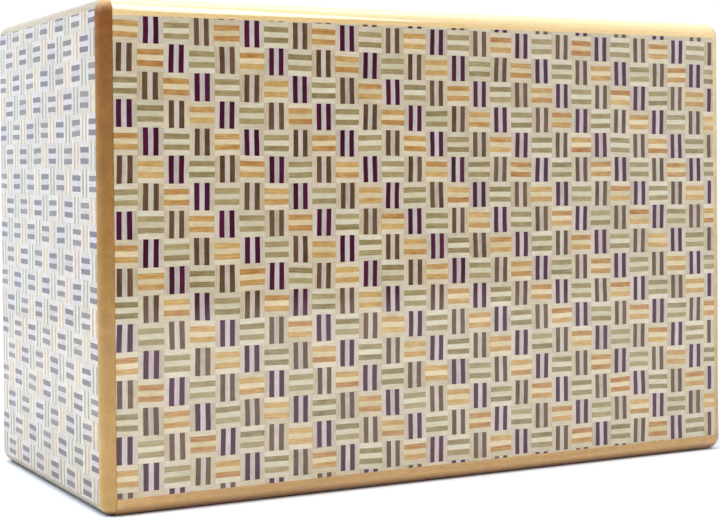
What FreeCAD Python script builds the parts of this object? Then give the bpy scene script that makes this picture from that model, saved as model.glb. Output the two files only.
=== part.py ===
import FreeCAD, Part
import os

os.makedirs("parts", exist_ok=True)
Vector = FreeCAD.Vector

# Whole box, in mm: x along the length, y from the lid to the base, z up, origin under the middle
length = 151.5
depth = 72.5
height = 99.5
edge_radius = 3.0

# Outer panels and the marquetry sheets glued on them
panel_thickness = 2.6
veneer_thickness = 0.25
lid_sheet_margin = 3.5
end_sheet_margin = 2.2

# Clearances
slide_gap = 0.15
seam_gap = 0.06
rail_gap = 0.2
stop_gap = 0.1

# Carcass
side_board_thickness = 2.8
liner_thickness = 3.2
lip_width = 3.0
inner_wall_thickness = 4.0
guide_thickness = 3.0
floor_thickness = 3.0
floor_gap = 0.5

# Rails of the lid and the base
tongue_thickness = 3.0
rail_body_width = 4.8
lid_rail_length = 35.7
base_travel = 7.0

# Dovetail rails of the end panels
dovetail_width = 24.0
dovetail_flare = 0.8
end_stop_length = 6.0
end_travel = 7.0

# Keys that bolt the lid
key_width = 6.0
key_thickness = 3.2
key_length = 41.0
key_tip_gap = 0.3
batten_width = 11.0
batten_inset = 1.5
batten_cover_thickness = 1.5

# Levels that follow from the values above
half_length = length / 2
half_depth = depth / 2
carcass_half_length = half_length - panel_thickness - slide_gap
carcass_half_depth = half_depth - panel_thickness - slide_gap
panel_inner_x = half_length - panel_thickness
panel_inner_y = half_depth - panel_thickness
seam_x = panel_inner_x - seam_gap
seam_y = panel_inner_y - seam_gap
guide_inner_x = carcass_half_length - guide_thickness
cavity_half_length = guide_inner_x - inner_wall_thickness
wall_inner_z = side_board_thickness + liner_thickness
groove_outer_y = carcass_half_depth - lip_width
groove_inner_y = groove_outer_y - tongue_thickness - 2 * rail_gap
tongue_inner_y = groove_inner_y + rail_gap
rail_top_z = wall_inner_z + rail_gap + rail_body_width
rail_end_x = cavity_half_length - stop_gap
key_outer_y = tongue_inner_y - rail_gap
key_inner_y = key_outer_y - key_thickness
key_channel_inner_y = key_inner_y - rail_gap
batten_lower_z = rail_top_z
batten_upper_z = height - rail_top_z
key_tip_z = height - wall_inner_z - key_tip_gap


def block(x_low, x_high, y_low, y_high, z_low, z_high):
    size = Vector(x_high - x_low, y_high - y_low, z_high - z_low)
    return Part.makeBox(size.x, size.y, size.z, Vector(x_low, y_low, z_low))


def prism(points, direction):
    outline = Part.makePolygon(points + [points[0]])
    return Part.Face(outline).extrude(direction)


def turned(shape):
    other = shape.copy()
    other.rotate(Vector(0, 0, 0), Vector(0, 0, 1), 180)
    return other


def upside_down(shape):
    return shape.mirror(Vector(0, 0, height / 2), Vector(0, 0, 1))


def save(name, *solids):
    shape = solids[0] if len(solids) == 1 else Part.makeCompound(list(solids))
    shape.exportStep("parts/" + name + ".step")


# Outside form of the closed box, with every edge rounded
envelope = block(-half_length, half_length, -half_depth, half_depth, 0, height)
envelope = envelope.makeFillet(edge_radius, envelope.Edges)

# The four sliding panels: each covers one neighbour and is covered by the other
lid_slab = block(-seam_x, half_length, -half_depth, -panel_inner_y, 0, height)
lid_sheet = block(
    -seam_x,
    carcass_half_length,
    -half_depth,
    -half_depth + veneer_thickness,
    lid_sheet_margin,
    height - lid_sheet_margin,
)
lid_veneer = envelope.common(lid_sheet)
lid_panel = envelope.common(lid_slab).cut(lid_sheet)
save("lid_panel", lid_panel)
save("lid_veneer", lid_veneer)
save("base_panel", turned(lid_panel))
save("base_veneer", turned(lid_veneer))

left_end_slab = block(-half_length, -panel_inner_x, -half_depth, seam_y, 0, height)
left_end_sheet = block(
    -half_length,
    -half_length + veneer_thickness,
    -carcass_half_depth,
    seam_y,
    end_sheet_margin,
    height - end_sheet_margin,
)
left_end_veneer = envelope.common(left_end_sheet)
left_end_panel = envelope.common(left_end_slab).cut(left_end_sheet)
save("left_end_panel", left_end_panel)
save("left_end_veneer", left_end_veneer)
save("right_end_panel", turned(left_end_panel))
save("right_end_veneer", turned(left_end_veneer))

# Long sides: veneered board, and the liner and lips that leave the rail grooves open
side_sheet = block(
    -carcass_half_length, carcass_half_length, -carcass_half_depth, carcass_half_depth, 0, veneer_thickness
)
side_slab = block(
    -carcass_half_length,
    carcass_half_length,
    -carcass_half_depth,
    carcass_half_depth,
    veneer_thickness,
    side_board_thickness,
)
side_veneer = envelope.common(side_sheet)
side_board = envelope.common(side_slab)
front_lip = block(
    -cavity_half_length,
    cavity_half_length,
    -carcass_half_depth,
    -groove_outer_y,
    side_board_thickness,
    wall_inner_z,
)
back_lip = turned(front_lip)
lower_liner = block(
    -cavity_half_length, cavity_half_length, -groove_inner_y, groove_inner_y, side_board_thickness, wall_inner_z
)
save("lower_side_veneer", side_veneer)
save("lower_side_board", side_board)
save("lower_side_liner", lower_liner)
save("lower_front_lip", front_lip)
save("lower_back_lip", back_lip)
save("upper_side_veneer", upside_down(side_veneer))
save("upper_side_board", upside_down(side_board))
save("upper_front_lip", upside_down(front_lip))
save("upper_back_lip", upside_down(back_lip))

# The upper liner stops short of the lid groove: a row of key blocks fills the strip between
upper_liner = block(
    -cavity_half_length,
    cavity_half_length,
    -key_channel_inner_y,
    groove_inner_y,
    height - wall_inner_z,
    height - side_board_thickness,
)
save("upper_side_liner", upper_liner)

left_key_x = -rail_end_x + batten_inset + batten_width / 2
right_key_x = -rail_end_x + lid_rail_length - batten_inset - batten_width / 2
key_slot_half = key_width / 2 + rail_gap
key_block_ends = [
    (-cavity_half_length, left_key_x - key_slot_half),
    (left_key_x + key_slot_half, right_key_x - key_slot_half),
    (right_key_x + key_slot_half, cavity_half_length),
]
key_blocks = []
for x_low, x_high in key_block_ends:
    key_block = block(
        x_low,
        x_high,
        -groove_inner_y,
        -key_channel_inner_y,
        height - wall_inner_z,
        height - side_board_thickness,
    )
    key_blocks.append(key_block)
save("upper_key_blocks", *key_blocks)

# Inner end walls and the fixed floor of the compartment
left_inner_wall = block(
    -guide_inner_x,
    -cavity_half_length,
    -carcass_half_depth,
    carcass_half_depth,
    side_board_thickness,
    height - side_board_thickness,
)
save("left_inner_wall", left_inner_wall)
save("right_inner_wall", turned(left_inner_wall))

floor_outer_y = tongue_inner_y - floor_gap
inner_floor = block(
    -cavity_half_length,
    cavity_half_length,
    floor_outer_y - floor_thickness,
    floor_outer_y,
    wall_inner_z,
    height - wall_inner_z,
)
save("inner_floor", inner_floor)

# Dovetail channel on the outside of each inner wall, and the end panel's rail that runs in it
half_narrow = dovetail_width / 2
half_wide = half_narrow + dovetail_flare
middle_z = height / 2


def dovetail(x_outer, x_inner, gap, y_low, y_high):
    corners = [
        Vector(-x_outer, y_low, middle_z - half_narrow + gap),
        Vector(-x_outer, y_low, middle_z + half_narrow - gap),
        Vector(-x_inner, y_low, middle_z + half_wide - gap),
        Vector(-x_inner, y_low, middle_z - half_wide + gap),
    ]
    return prism(corners, Vector(0, y_high - y_low, 0))


guide_corners = [
    Vector(-carcass_half_length, -carcass_half_depth, side_board_thickness),
    Vector(-carcass_half_length, -carcass_half_depth, middle_z - half_narrow),
    Vector(-guide_inner_x, -carcass_half_depth, middle_z - half_wide),
    Vector(-guide_inner_x, -carcass_half_depth, side_board_thickness),
]
lower_guide = prism(guide_corners, Vector(0, 2 * carcass_half_depth, 0))
upper_guide = upside_down(lower_guide)
save("left_lower_guide", lower_guide)
save("left_upper_guide", upper_guide)
save("right_lower_guide", turned(lower_guide))
save("right_upper_guide", turned(upper_guide))

stop_y = carcass_half_depth - end_stop_length
front_stop = dovetail(carcass_half_length, guide_inner_x, 0, -carcass_half_depth, -stop_y)
back_stop = dovetail(carcass_half_length, guide_inner_x, 0, stop_y, carcass_half_depth)
save("left_end_stops", front_stop, back_stop)
save("right_end_stops", turned(front_stop), turned(back_stop))

left_end_rail = dovetail(
    panel_inner_x,
    guide_inner_x + rail_gap,
    rail_gap,
    -stop_y + stop_gap + end_travel,
    stop_y - stop_gap,
)
save("left_end_rail", left_end_rail)
save("right_end_rail", turned(left_end_rail))


# Rails of the lid and the base: a body glued to the panel and a tongue in the groove of the side
def lower_rail(x_low, x_high):
    body = block(
        x_low, x_high, -panel_inner_y, -tongue_inner_y, wall_inner_z + rail_gap, rail_top_z
    )
    tongue = block(
        x_low,
        x_high,
        -tongue_inner_y - tongue_thickness,
        -tongue_inner_y,
        side_board_thickness + rail_gap,
        wall_inner_z + rail_gap,
    )
    return body.fuse(tongue).removeSplitter()


lid_rail = lower_rail(-rail_end_x, -rail_end_x + lid_rail_length)
save("lower_lid_rail", lid_rail)
save("upper_lid_rail", upside_down(lid_rail))

base_rail = turned(lower_rail(-rail_end_x, rail_end_x - base_travel))
save("lower_base_rail", base_rail)
save("upper_base_rail", upside_down(base_rail))

# Key battens under the lid, each with a channel for a loose key bar and a cover strip over it
key_channel_end_z = key_tip_z - key_length - stop_gap
for side, key_x in (("left", left_key_x), ("right", right_key_x)):
    batten = block(
        key_x - batten_width / 2,
        key_x + batten_width / 2,
        -panel_inner_y,
        -key_channel_inner_y,
        batten_lower_z,
        batten_upper_z,
    )
    channel = block(
        key_x - key_slot_half,
        key_x + key_slot_half,
        -key_outer_y - rail_gap,
        -key_channel_inner_y,
        key_channel_end_z,
        batten_upper_z,
    )
    cover = block(
        key_x - batten_width / 2,
        key_x + batten_width / 2,
        -key_channel_inner_y,
        -key_channel_inner_y + batten_cover_thickness,
        batten_lower_z,
        batten_upper_z,
    )
    key_bar = block(
        key_x - key_width / 2,
        key_x + key_width / 2,
        -key_outer_y,
        -key_inner_y,
        key_tip_z - key_length,
        key_tip_z,
    )
    save(side + "_key_batten", batten.cut(channel))
    save(side + "_key_cover", cover)
    save(side + "_key_bar", key_bar)
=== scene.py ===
import math

import bpy
from mathutils import Euler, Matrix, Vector


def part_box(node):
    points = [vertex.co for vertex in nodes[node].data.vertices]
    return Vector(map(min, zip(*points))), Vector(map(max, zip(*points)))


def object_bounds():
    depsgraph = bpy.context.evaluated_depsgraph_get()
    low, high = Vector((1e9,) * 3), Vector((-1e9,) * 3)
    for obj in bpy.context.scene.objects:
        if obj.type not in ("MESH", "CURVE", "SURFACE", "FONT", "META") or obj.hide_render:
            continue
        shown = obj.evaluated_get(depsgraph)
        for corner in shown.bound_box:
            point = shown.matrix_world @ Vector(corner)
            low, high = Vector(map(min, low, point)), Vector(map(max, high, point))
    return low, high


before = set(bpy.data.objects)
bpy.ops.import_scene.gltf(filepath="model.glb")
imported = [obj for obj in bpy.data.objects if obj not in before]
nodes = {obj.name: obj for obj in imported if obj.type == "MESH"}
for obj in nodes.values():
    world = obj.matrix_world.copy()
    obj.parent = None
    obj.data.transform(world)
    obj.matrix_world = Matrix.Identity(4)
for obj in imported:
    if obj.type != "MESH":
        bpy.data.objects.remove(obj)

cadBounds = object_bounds()
boxLow, boxHigh = cadBounds
mmPerMetre = 1000
print("frame loaded: %d pieces" % len(nodes))


def linear(hexText):
    # sRGB hex to linear RGBA
    parts = [int(hexText[i:i + 2], 16) / 255 for i in (1, 3, 5)]
    return [c / 12.92 if c <= 0.04045 else ((c + 0.055) / 1.055) ** 2.4 for c in parts] + [1.0]


def plug(tree, node, sockets):
    # sockets: input, by name or number -> a value, an output, or a node whose first output in use is meant
    for key, value in sockets.items():
        named = [socket for socket in node.inputs if socket.enabled and socket.name == key]
        target = named[0] if named else node.inputs[key]
        if isinstance(value, bpy.types.Node):
            value = [socket for socket in value.outputs if socket.enabled][0]
        if isinstance(value, bpy.types.NodeSocket):
            tree.links.new(value, target)
        else:
            target.default_value = value


def addNode(tree, kind, sockets=None, stops=None, **settings):
    # kind: Blender's name for it without ShaderNode; stops: (place, hex) pairs of a colour ramp
    node = tree.nodes.new(kind if kind.startswith("NodeGroup") else "ShaderNode" + kind)
    for name, value in settings.items():
        setattr(node, name, value)
    plug(tree, node, sockets or {})
    for index, (place, hexText) in enumerate(stops or []):
        elements = node.color_ramp.elements
        stop = elements[index] if index < len(elements) else elements.new(place)
        stop.position = place
        stop.color = linear(hexText)
    return node


def dress(node, material):
    nodes[node].data.materials.clear()
    nodes[node].data.materials.append(material)


# Camera, fitted to the weave and the edges of the box
cameraFit = {
    "place": (-0.1744, -0.3280, 0.0664),
    "turn": (89.405, 0.480, -27.873),  # degrees
    "lensMm": 80.17,
    "sensorMm": 36,
    "shiftY": -0.1038,
    "near": 0.01,  # nothing closer than this is drawn, metres
}
lensData = bpy.data.cameras.new("camera")
lensData.lens = cameraFit["lensMm"]
lensData.sensor_width = cameraFit["sensorMm"]
lensData.shift_y = cameraFit["shiftY"]
lensData.clip_start = cameraFit["near"]
camera = bpy.data.objects.new("camera", lensData)
camera.location = cameraFit["place"]
camera.rotation_euler = Euler([math.radians(a) for a in cameraFit["turn"]])
bpy.context.scene.collection.objects.link(camera)
bpy.context.scene.camera = camera
print("camera placed")

# Basket weave: square cells of five strips, pale and coloured in turn, each turned against its neighbours.
# Four woods take turns along the diagonals. No two strips of one wood have quite the same tone.
weave = {
    "strips": 5,
    "cellMm": 5.35,
    "woods": {  # lowest and highest tone of the coloured strips and of the pale ones beside them
        "orange": {
            "coloured": ("#8e4906", "#cdb170"),
            "between": ("#afa072", "#dfcba8"),
            "outside": ("#ac9d7d", "#d8ccb2"),
        },
        "purple": {
            "coloured": ("#280618", "#511735"),
            "between": ("#9a8c81", "#cabdbb"),
            "outside": ("#9d907a", "#cfc0b2"),
        },
        "olive": {
            "coloured": ("#685932", "#ae9e72"),
            "between": ("#aaa17f", "#d6ceb5"),
            "outside": ("#a99f80", "#d6cdb7"),
        },
        "brown": {
            "coloured": ("#392314", "#705540"),
            "between": ("#978a72", "#cdc1b1"),
            "outside": ("#a08f6f", "#d0c3a8"),
        },
    },
    "streakMm": (3.2, 0.24),  # grain lines: length and width; real ones are finer and would not show
    "streakRange": (0.28, 0.72),  # part of the noise that is spread over all the tones
    "streakApart": 70.0,  # how far apart the strips lie in the noise, so that no two have the same lines
    "cloudMm": 1.6,  # cloudy patches in the wood
    "cloudRange": (0.3, 0.7),
    "cloudShare": 0.3,  # of the grain, the rest is streaks
    "chanceShare": 0.4,  # of the tone, the rest is grain
    "noiseDetail": 2.0,
    "jointMm": 0.06,  # glue line, half its width
    "jointShade": 0.88,
    "streakHeight": 0.3,  # how much the grain lines stand out in the bump
    "wander": (0.4, 0.12),  # cells set by hand wander off the straight rows: steps per cell, reach in cells
    "wanderDetail": 1.0,
}


def basketWeave():
    tree = bpy.data.node_groups.new("basketWeave", "ShaderNodeTree")
    tree.interface.new_socket("Cell", in_out="INPUT", socket_type="NodeSocketVector")
    tree.interface.new_socket("Colour", in_out="OUTPUT", socket_type="NodeSocketColor")
    tree.interface.new_socket("Height", in_out="OUTPUT", socket_type="NodeSocketFloat")
    given = addNode(tree, "NodeGroupInput")
    strips, cellMm = weave["strips"], weave["cellMm"]
    stripMm = cellMm / strips
    half = 0.5

    # which cell a point is in, and where in that cell
    often, reach = weave["wander"]
    wander = addNode(tree, "TexNoise", {"Vector": given, "Scale": often, "Detail": weave["wanderDetail"]})
    drift = addNode(tree, "VectorMath", {0: wander.outputs["Color"], 1: [half] * 3}, operation="SUBTRACT")
    entry = addNode(tree, "VectorMath", {
        0: drift, 1: (reach, reach, 0), 2: given}, operation="MULTIPLY_ADD")
    ids = addNode(tree, "VectorMath", {0: entry}, operation="FLOOR")
    inside = addNode(tree, "VectorMath", {0: entry}, operation="FRACTION")
    column, row, sheet = addNode(tree, "SeparateXYZ", {"Vector": ids}).outputs
    right, down = addNode(tree, "SeparateXYZ", {"Vector": inside}).outputs[:2]

    # its wood, the way its strips run, and which strip this is
    woodCount = len(weave["woods"])
    diagonal = addNode(tree, "Math", {0: column, 1: row}, operation="SUBTRACT")
    family = addNode(tree, "Math", {0: diagonal, 1: woodCount}, operation="FLOORED_MODULO")
    upright = addNode(tree, "Math", {0: diagonal, 1: 2}, operation="FLOORED_MODULO")
    across = addNode(tree, "Mix", {"Factor": upright, "A": down, "B": right})
    along = addNode(tree, "Mix", {"Factor": upright, "A": right, "B": down})
    counted = addNode(tree, "Math", {0: across, 1: strips}, operation="MULTIPLY")
    strip = addNode(tree, "Math", {0: counted}, operation="FLOOR")
    coloured = addNode(tree, "Math", {0: strip, 1: 2}, operation="FLOORED_MODULO")
    between = addNode(tree, "Math", {0: strip, 1: strips // 2, 2: half}, operation="COMPARE")

    # a tone for each strip, streaks along it and cloudy patches
    layer = addNode(tree, "Math", {0: strip, 1: sheet}, operation="ADD")
    stripId = addNode(tree, "CombineXYZ", {"X": column, "Y": row, "Z": layer})
    chance = addNode(tree, "TexWhiteNoise", {"Vector": stripId})
    length, width = weave["streakMm"]
    streakSize = (cellMm / length, stripMm / width, weave["streakApart"])
    stripPlace = addNode(tree, "CombineXYZ", {"X": along, "Y": counted, "Z": chance})
    streakPlace = addNode(tree, "VectorMath", {0: stripPlace, 1: streakSize}, operation="MULTIPLY")
    noise = {}
    spread = {}
    for drawn, place, scale in (("streak", streakPlace, 1.0), ("cloud", entry, cellMm / weave["cloudMm"])):
        noise[drawn] = addNode(tree, "TexNoise", {
            "Vector": place, "Scale": scale, "Detail": weave["noiseDetail"]})
        low, high = weave[drawn + "Range"]
        spread[drawn] = addNode(tree, "MapRange", {
            "Value": noise[drawn], "From Min": low, "From Max": high})
    grain = addNode(tree, "Mix", {
        "Factor": weave["cloudShare"], "A": spread["streak"], "B": spread["cloud"]})
    tone = addNode(tree, "Mix", {"Factor": weave["chanceShare"], "A": grain, "B": chance})

    # the tones of each kind of strip, a step of the ramp for each wood
    step = 1 / woodCount
    place = addNode(tree, "Math", {0: family, 1: step, 2: step * half}, operation="MULTIPLY_ADD")
    shades = {}
    for kind in ("coloured", "between", "outside"):
        ends = []
        for end in (0, 1):
            stops = [(step * i, wood[kind][end]) for i, wood in enumerate(weave["woods"].values())]
            ramp = addNode(tree, "ValToRGB", {"Fac": place}, stops)
            ramp.color_ramp.interpolation = "CONSTANT"
            ends.append(ramp)
        shades[kind] = addNode(tree, "Mix", {"Factor": tone, "A": ends[0], "B": ends[1]}, data_type="RGBA")
    pale = addNode(tree, "Mix", {
        "Factor": between, "A": shades["outside"], "B": shades["between"]}, data_type="RGBA")
    wood = addNode(tree, "Mix", {"Factor": coloured, "A": pale, "B": shades["coloured"]}, data_type="RGBA")

    # glue lines between the strips, hardly darker than the wood
    sideGap = addNode(tree, "Math", {0: counted, 1: half}, operation="PINGPONG")
    endShare = addNode(tree, "Math", {0: along, 1: half}, operation="PINGPONG")
    endGap = addNode(tree, "Math", {0: endShare, 1: strips}, operation="MULTIPLY")
    gap = addNode(tree, "Math", {0: sideGap, 1: endGap}, operation="MINIMUM")
    joint = addNode(tree, "MapRange", {
        "Value": gap, "From Max": weave["jointMm"] / stripMm, "To Min": weave["jointShade"], "To Max": 1.0})
    colour = addNode(tree, "VectorMath", {0: wood, "Scale": joint}, operation="SCALE")
    height = addNode(tree, "Math", {
        0: noise["streak"], 1: weave["streakHeight"], 2: joint}, operation="MULTIPLY_ADD")
    addNode(tree, "NodeGroupOutput", {"Colour": colour, "Height": height})
    return tree


weaveTree = basketWeave()
print("weave drawn")

# Sheets shaved from one block and glued on the six faces, then sanded and lacquered: a hard clear gloss
# over matt woods. Cells are counted across and down, centre is the cell in the middle of the face, the tilt
# is in degrees, each seed is a ten of its own and gives other tones, and colour is the share of colour kept:
# the left end keeps less, a painted wash-out of the strong light on that side.
sheets = {
    "lid_veneer": {
        "across": (1, 0, 0), "down": (0, 0, -1), "pitchMm": (5.327, 5.377), "centre": (13.847, 8.515),
        "tilt": 0.43, "seed": 0, "colour": 1.0},
    # the left end's colour is lowered: a painted wash-out of the strong light on this side
    "left_end_veneer": {
        "across": (0, 0, -1), "down": (0, 1, 0), "pitchMm": (5.409, 5.291), "centre": (9.135, -6.45),
        "tilt": 0.23, "seed": 10, "colour": 0.75},
    "base_veneer": {
        "across": (-1, 0, 0), "down": (0, 0, -1), "pitchMm": (5.34, 5.36), "centre": (13.6, 8.4),
        "tilt": -0.3, "seed": 20, "colour": 1.0},
    "right_end_veneer": {
        "across": (0, 0, -1), "down": (0, -1, 0), "pitchMm": (5.36, 5.34), "centre": (8.8, -6.1),
        "tilt": -0.2, "seed": 30, "colour": 1.0},
    "upper_side_veneer": {
        "across": (1, 0, 0), "down": (0, -1, 0), "pitchMm": (5.34, 5.36), "centre": (13.7, 6.2),
        "tilt": 0.2, "seed": 40, "colour": 1.0},
    "lower_side_veneer": {
        "across": (-1, 0, 0), "down": (0, -1, 0), "pitchMm": (5.34, 5.36), "centre": (13.4, 6.5),
        "tilt": -0.25, "seed": 50, "colour": 1.0},
}
# Under the lacquer the wood has no shine of its own, so only the coat reflects.
lacquer = {
    "roughness": 0.5,
    "specular": 0.0,
    "coat": 1.0,
    "coatRoughness": 0.08,
    "coatIor": 1.55,
    "bumpMm": 0.01,
    "bumpStrength": 0.4,
}


def sheetMaterial(node, sheet):
    material = bpy.data.materials.new("lacqueredMarquetry_" + node)
    material.use_nodes = True
    tree = material.node_tree
    tilt = math.radians(sheet["tilt"])
    across, down = Vector(sheet["across"]), Vector(sheet["down"])
    turnedAcross = across * math.cos(tilt) + down * math.sin(tilt)
    turnedDown = down * math.cos(tilt) - across * math.sin(tilt)
    low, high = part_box(node)
    middle = (low + high) / 2
    place = addNode(tree, "TexCoord").outputs["Object"]
    counts = []
    for axis, pitch, centre in zip((turnedAcross, turnedDown), sheet["pitchMm"], sheet["centre"]):
        cellsPerMetre = axis * mmPerMetre / pitch
        run = addNode(tree, "VectorMath", {0: place, 1: cellsPerMetre}, operation="DOT_PRODUCT")
        start = centre - cellsPerMetre.dot(middle)
        counts.append(addNode(tree, "Math", {0: run, 1: start}, operation="ADD"))
    layer = sheet["seed"] + 0.5  # between two whole numbers, so that rounding can't change it
    cell = addNode(tree, "CombineXYZ", {"X": counts[0], "Y": counts[1], "Z": layer})
    drawn = addNode(tree, "Group", {"Cell": cell}, node_tree=weaveTree).outputs
    bump = addNode(tree, "Bump", {
        "Strength": lacquer["bumpStrength"],
        "Distance": lacquer["bumpMm"] / mmPerMetre,
        "Height": drawn["Height"]})
    # less colour on a sheet whose colour is below 1: a painted wash-out of strong light
    paintedWashout = addNode(tree, "HueSaturation", {"Saturation": sheet["colour"], "Color": drawn["Colour"]})
    plug(tree, tree.nodes["Principled BSDF"], {
        "Base Color": paintedWashout,
        "Normal": bump,
        "Roughness": lacquer["roughness"],
        "Specular IOR Level": lacquer["specular"],
        "Coat Weight": lacquer["coat"],
        "Coat Roughness": lacquer["coatRoughness"],
        "Coat IOR": lacquer["coatIor"]})
    return material


for node, sheet in sheets.items():
    dress(node, sheetMaterial(node, sheet))
print("marquetry sheets finished")

# Plain woods. Figure and pores have a length along the grain and a width across it; real pores are finer and
# would not show. A board goes over to its far tones from its top to its foot, and to its sap tones away from
# the heartwood. End grain drinks more finish. The top edge is painted paler, a painted highlight, and the
# foot is painted darker, a painted contact shadow where the box stands on the floor; the Mm pair with each
# says how far from the edge that starts and is full.
woods = {
    # katsura, planed and lacquered with the sheets: honey coloured, close grained, glossy
    "lacqueredKatsura": {
        "tones": ("#dbbe83", "#e6c990", "#f0d59f"), "far": ("#a9834f", "#bc935a", "#cba368"),
        "figureMm": (60, 2.4), "poreMm": (1.8, 0.2), "endTint": "#bccbc6",
        # the last two pairs: a painted contact shadow at the foot and a painted highlight along the top edge
        "paintedShadeTint": "#b7a192", "paintedShadeMm": (2.0, 0.7), "paintedHighlightTone": "#ecdaac", "paintedHighlightMm": (2.8, 0.6),
        "roughness": 0.5, "specular": 0.0, "coat": 1.0, "bumpMm": 0.01},
    # katsura with heartwood along its long edges, lacquered: brown there, tan lower down, the rest pale
    "lacqueredHeartKatsura": {
        "tones": ("#703717", "#7e411a", "#8a4b21"), "far": ("#bd995e", "#c8a367", "#d2ad70"),
        "sap": ("#9f927b", "#b0a38c", "#beb29b"),
        "figureMm": (60, 2.4), "poreMm": (5, 0.3), "endTint": "#e4ddd0",
        # the last two pairs: a painted contact shadow at the foot and a painted highlight along the top edge
        "paintedShadeTint": "#6b5a50", "paintedShadeMm": (1.4, 0.4), "paintedHighlightTone": "#d2b082", "paintedHighlightMm": (2.8, 0.6),
        "roughness": 0.5, "specular": 0.0, "coat": 0.4, "bumpMm": 0.01},
    # magnolia, planed and left bare inside: pale, even, dull
    "planedMagnolia": {
        "tones": ("#b7a274", "#cbb98a", "#d8c99c"),
        "figureMm": (90, 3.5), "poreMm": (6, 0.25), "endTint": "#dfd8cc",
        "roughness": 0.62, "specular": 0.5, "coat": 0.0, "bumpMm": 0.02},
    # beech, planed and waxed where it slides: pinkish tan with short flecks, a soft shine
    "waxedBeech": {
        "tones": ("#a9794b", "#bd8f60", "#cba173"),
        "figureMm": (70, 3.0), "poreMm": (2.5, 0.25), "endTint": "#dfd6ca",
        "roughness": 0.45, "specular": 0.5, "coat": 0.15, "bumpMm": 0.02},
    # walnut, planed and waxed: dark stops and keys, open pores
    "waxedWalnut": {
        "tones": ("#3c2616", "#553722", "#6a482f"),
        "figureMm": (60, 2.6), "poreMm": (4, 0.3), "endTint": "#d8d2cc",
        "roughness": 0.42, "specular": 0.5, "coat": 0.15, "bumpMm": 0.03},
}
# What all plain boards share
boards = {
    "grain": {"X": (0, 1, 2), "Y": (1, 0, 2), "Z": (2, 0, 1)},  # axis along the grain, then those across it
    "detail": {"figureMm": 2.0, "poreMm": 3.0},
    "distortion": 0.3,
    "poreShare": 0.55,  # of the drawing, the rest is figure
    "stops": (0.36, 0.5, 0.64),  # of the drawing, for the low, middle and high tone
    "farMm": (15, 14),  # none of the far tones this far above the top, all this far above the foot
    "heartMm": (2.6, 3.4),  # heartwood goes over to sapwood between these distances from the long edge
    "endSlant": (0.05, 0.75),  # how squarely a face cuts the grain, for none and all of the end tint
    "roughnessSpread": 0.08,
    "bumpStrength": 0.5,
}


def overlay(tree, colour, tone, place, start, end, way="MIX"):
    # lays a tone over a colour: none of it at start, all of it at end
    share = addNode(tree, "MapRange", {"Value": place, "From Min": start, "From Max": end})
    return addNode(tree, "Mix", {"Factor": share, "A": colour, "B": tone}, data_type="RGBA", blend_type=way)


def woodMaterial(kind, axis):
    wood = woods[kind]
    material = bpy.data.materials.new(kind + "_" + axis)
    material.use_nodes = True
    tree = material.node_tree
    spot = addNode(tree, "TexCoord").outputs
    parts = addNode(tree, "SeparateXYZ", {"Vector": spot["Object"]}).outputs
    long, sideA, sideB = boards["grain"][axis]
    grainPlace = addNode(tree, "CombineXYZ", {"X": parts[long], "Y": parts[sideA], "Z": parts[sideB]})
    drawings = []
    for drawn, detail in boards["detail"].items():
        length, width = wood[drawn]
        size = (mmPerMetre / length, mmPerMetre / width, mmPerMetre / width)
        place = addNode(tree, "VectorMath", {0: grainPlace, 1: size}, operation="MULTIPLY")
        drawings.append(addNode(tree, "TexNoise", {
            "Vector": place, "Scale": 1.0, "Detail": detail, "Distortion": boards["distortion"]}))
    figure, pores = drawings
    drawing = addNode(tree, "Mix", {"Factor": boards["poreShare"], "A": figure, "B": pores})
    ramps = {}
    for tones in ("tones", "far", "sap"):
        if tones in wood:
            stops = list(zip(boards["stops"], wood[tones]))
            ramps[tones] = addNode(tree, "ValToRGB", {"Fac": drawing}, stops)

    foot, top = boxLow[2], boxHigh[2]
    colour = ramps["tones"]
    if "far" in wood:
        aboveTop, aboveFoot = [mm / mmPerMetre for mm in boards["farMm"]]
        colour = overlay(tree, colour, ramps["far"], parts["Z"], top + aboveTop, foot + aboveFoot)
    # painted highlight: the top edge drawn paler, where the light catches the rounding
    if "paintedHighlightTone" in wood:
        start, end = [top - mm / mmPerMetre for mm in wood["paintedHighlightMm"]]
        colour = overlay(tree, colour, linear(wood["paintedHighlightTone"]), parts["Z"], start, end)
    if "sap" in wood:
        start, end = [boxHigh[1] - mm / mmPerMetre for mm in boards["heartMm"]]
        reach = addNode(tree, "Math", {0: parts["Y"]}, operation="ABSOLUTE")
        colour = overlay(tree, colour, ramps["sap"], reach, start, end)
    facing = addNode(tree, "SeparateXYZ", {"Vector": spot["Normal"]}).outputs[long]
    slant = addNode(tree, "Math", {0: facing}, operation="ABSOLUTE")
    colour = overlay(tree, colour, linear(wood["endTint"]), slant, *boards["endSlant"], way="MULTIPLY")
    # painted contact shadow: the foot drawn darker, where the box stands on the floor
    if "paintedShadeTint" in wood:
        start, end = [foot + mm / mmPerMetre for mm in wood["paintedShadeMm"]]
        colour = overlay(tree, colour, linear(wood["paintedShadeTint"]), parts["Z"], start, end, way="MULTIPLY")

    rough = addNode(tree, "MapRange", {
        "Value": pores,
        "To Min": wood["roughness"] + boards["roughnessSpread"],
        "To Max": wood["roughness"] - boards["roughnessSpread"]})
    bump = addNode(tree, "Bump", {
        "Strength": boards["bumpStrength"],
        "Distance": wood["bumpMm"] / mmPerMetre,
        "Height": pores})
    plug(tree, tree.nodes["Principled BSDF"], {
        "Base Color": colour,
        "Normal": bump,
        "Roughness": rough,
        "Specular IOR Level": wood["specular"],
        "Coat Weight": wood["coat"],
        "Coat Roughness": lacquer["coatRoughness"],
        "Coat IOR": lacquer["coatIor"]})
    return material


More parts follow.
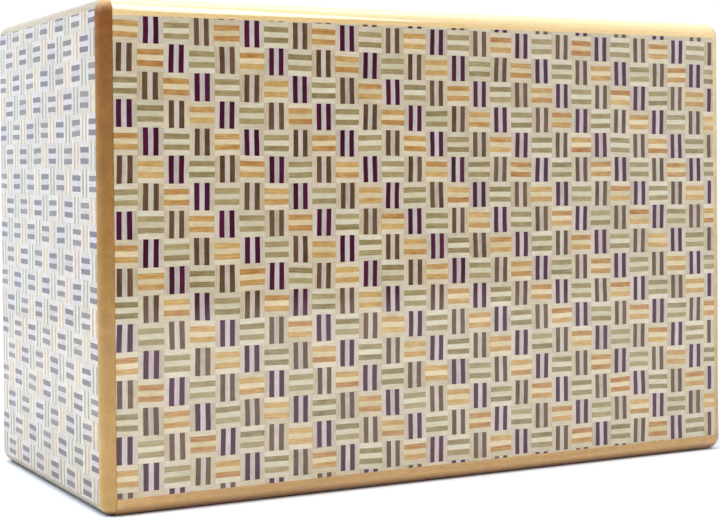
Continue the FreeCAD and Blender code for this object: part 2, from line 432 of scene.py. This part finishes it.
# Which wood each piece is made of, and the way its grain runs
pieceWoods = {
    ("lacqueredKatsura", "X"): ["lid_panel", "base_panel"],
    ("lacqueredHeartKatsura", "Y"): ["left_end_panel", "right_end_panel"],
    ("planedMagnolia", "X"): [
        "lower_side_board", "upper_side_board", "lower_side_liner", "upper_side_liner",
        "lower_front_lip", "upper_front_lip", "lower_back_lip", "upper_back_lip", "inner_floor"],
    ("planedMagnolia", "Z"): ["left_inner_wall", "right_inner_wall"],
    ("planedMagnolia", "Y"): [
        "left_lower_guide", "left_upper_guide", "right_lower_guide", "right_upper_guide"],
    ("waxedBeech", "X"): ["lower_lid_rail", "upper_lid_rail", "lower_base_rail", "upper_base_rail"],
    ("waxedBeech", "Y"): ["left_end_rail", "right_end_rail"],
    ("waxedBeech", "Z"): ["left_key_batten", "right_key_batten", "left_key_cover", "right_key_cover"],
    ("waxedWalnut", "Z"): ["left_key_bar", "right_key_bar"],
    ("waxedWalnut", "X"): ["upper_key_blocks"],
    ("waxedWalnut", "Y"): ["left_end_stops", "right_end_stops"],
}
for (kind, axis), members in pieceWoods.items():
    material = woodMaterial(kind, axis)
    for node in members:
        dress(node, material)
print("plain woods finished")

# Floor: a sheet of matt white paper, dull and faintly blue. The table below it is as white, ends a short
# way in front, and only sends light back.
paper = {"colour": "#f2f6fb", "roughness": 0.9, "specular": 0.1}
floorSheets = {  # metres from the middle of the box
    "paper": {"reach": 0.45, "front": 0.45, "drop": 0.0, "shows": True},
    "table": {"reach": 2.5, "front": 0.2, "drop": 0.001, "shows": False},
}
paperMaterial = bpy.data.materials.new("mattWhitePaper")
paperMaterial.use_nodes = True
plug(paperMaterial.node_tree, paperMaterial.node_tree.nodes["Principled BSDF"], {
    "Base Color": linear(paper["colour"]),
    "Roughness": paper["roughness"],
    "Specular IOR Level": paper["specular"]})
for name, size in floorSheets.items():
    reach, front, level = size["reach"], -size["front"], -size["drop"]
    corners = [(-reach, front, level), (reach, front, level), (reach, reach, level), (-reach, reach, level)]
    floorMesh = bpy.data.meshes.new(name)
    floorMesh.from_pydata(corners, [], [(0, 1, 2, 3)])
    floorMesh.materials.append(paperMaterial)
    floor = bpy.data.objects.new(name, floorMesh)
    floor.visible_camera = size["shows"]
    floor.visible_glossy = size["shows"]
    bpy.context.scene.collection.objects.link(floor)
print("floor laid")

# Studio: a white tent with a greyer roof, open and dark towards the camera
tent = {
    "left": 0.8,  # light from each wall
    "back": 1.75,
    "right": 1.35,
    "leftTurn": (-0.9, -0.4),  # where the left wall goes over to the back, as X of a direction of length 1
    "rightTurn": (-0.2, 0.4),
    "roof": 0.3,  # share of the walls' light
    "colour": "#dfebfb",
    "opening": 238,  # azimuth, degrees
    "openingEdge": (0.34, 0.5),  # cosines of the angles from the middle of the opening
    "room": 0.1,  # light from the dark room
    "seen": 1.05,  # what the camera itself sees as background
}
world = bpy.data.worlds.new("studio")
bpy.context.scene.world = world
world.use_nodes = True
sky = world.node_tree
sky.nodes.clear()
direction = addNode(sky, "TexCoord").outputs["Generated"]
heading = addNode(sky, "SeparateXYZ", {"Vector": direction}).outputs
walls = tent["left"]
for (start, end), side in ((tent["leftTurn"], "back"), (tent["rightTurn"], "right")):
    walls = addNode(sky, "MapRange", {
        "Value": heading["X"], "From Min": start, "From Max": end, "To Min": walls, "To Max": tent[side]})
roof = addNode(sky, "MapRange", {"Value": heading["Z"], "To Min": 1.0, "To Max": tent["roof"]})
cloth = addNode(sky, "Math", {0: walls, 1: roof}, operation="MULTIPLY")
openAngle = math.radians(tent["opening"])
openWay = (math.cos(openAngle), math.sin(openAngle), 0)
frontness = addNode(sky, "VectorMath", {0: direction, 1: openWay}, operation="DOT_PRODUCT")
start, end = tent["openingEdge"]
light = addNode(sky, "MapRange", {
    "Value": frontness, "From Min": start, "From Max": end, "To Min": cloth, "To Max": tent["room"]},
    interpolation_type="SMOOTHSTEP")
lit = addNode(sky, "Background", {"Color": linear(tent["colour"]), "Strength": light})
seen = addNode(sky, "Background", {"Color": linear("#ffffff"), "Strength": tent["seen"]})
cameraRay = addNode(sky, "LightPath").outputs["Is Camera Ray"]
shown = addNode(sky, "MixShader", {0: cameraRay, 1: lit, 2: seen})
addNode(sky, "OutputWorld", {"Surface": shown})

# A softbox and a small panel on top, a panel on the left and a warm lamp over the opening; places in metres
lights = {
    "softbox": {"watts": 7.1, "size": (0.7, 0.7), "place": (-0.28, 0, 0.9), "colour": "#fafbff"},
    "panel": {"watts": 1.2, "size": (0.4, 0.4), "place": (0.3, 0.05, 0.9), "colour": "#ffffff"},
    "side": {"watts": 3.4, "size": (0.7, 0.7), "place": (-0.78, 0.1, 0.6), "colour": "#f6f9ff"},
    "lamp": {"watts": 16.3, "size": (0.34, 1.26), "place": (0.5045, -1.0345, 1.1612), "colour": "#fff6ee"},
}
middle = Vector((0, 0, boxHigh[2] / 2))
for name, lamp in lights.items():
    place = Vector(lamp["place"])
    lightData = bpy.data.lights.new(name, "AREA")
    lightData.energy = lamp["watts"]
    lightData.shape = "RECTANGLE"
    lightData.size, lightData.size_y = lamp["size"]
    lightData.color = linear(lamp["colour"])[:3]
    lightObject = bpy.data.objects.new(name, lightData)
    lightObject.location = place
    lightObject.rotation_euler = (middle - place).to_track_quat("-Z", "Y").to_euler()
    lightObject.visible_camera = False
    bpy.context.scene.collection.objects.link(lightObject)
bpy.context.scene.view_settings.view_transform = "Standard"
print("studio lit")
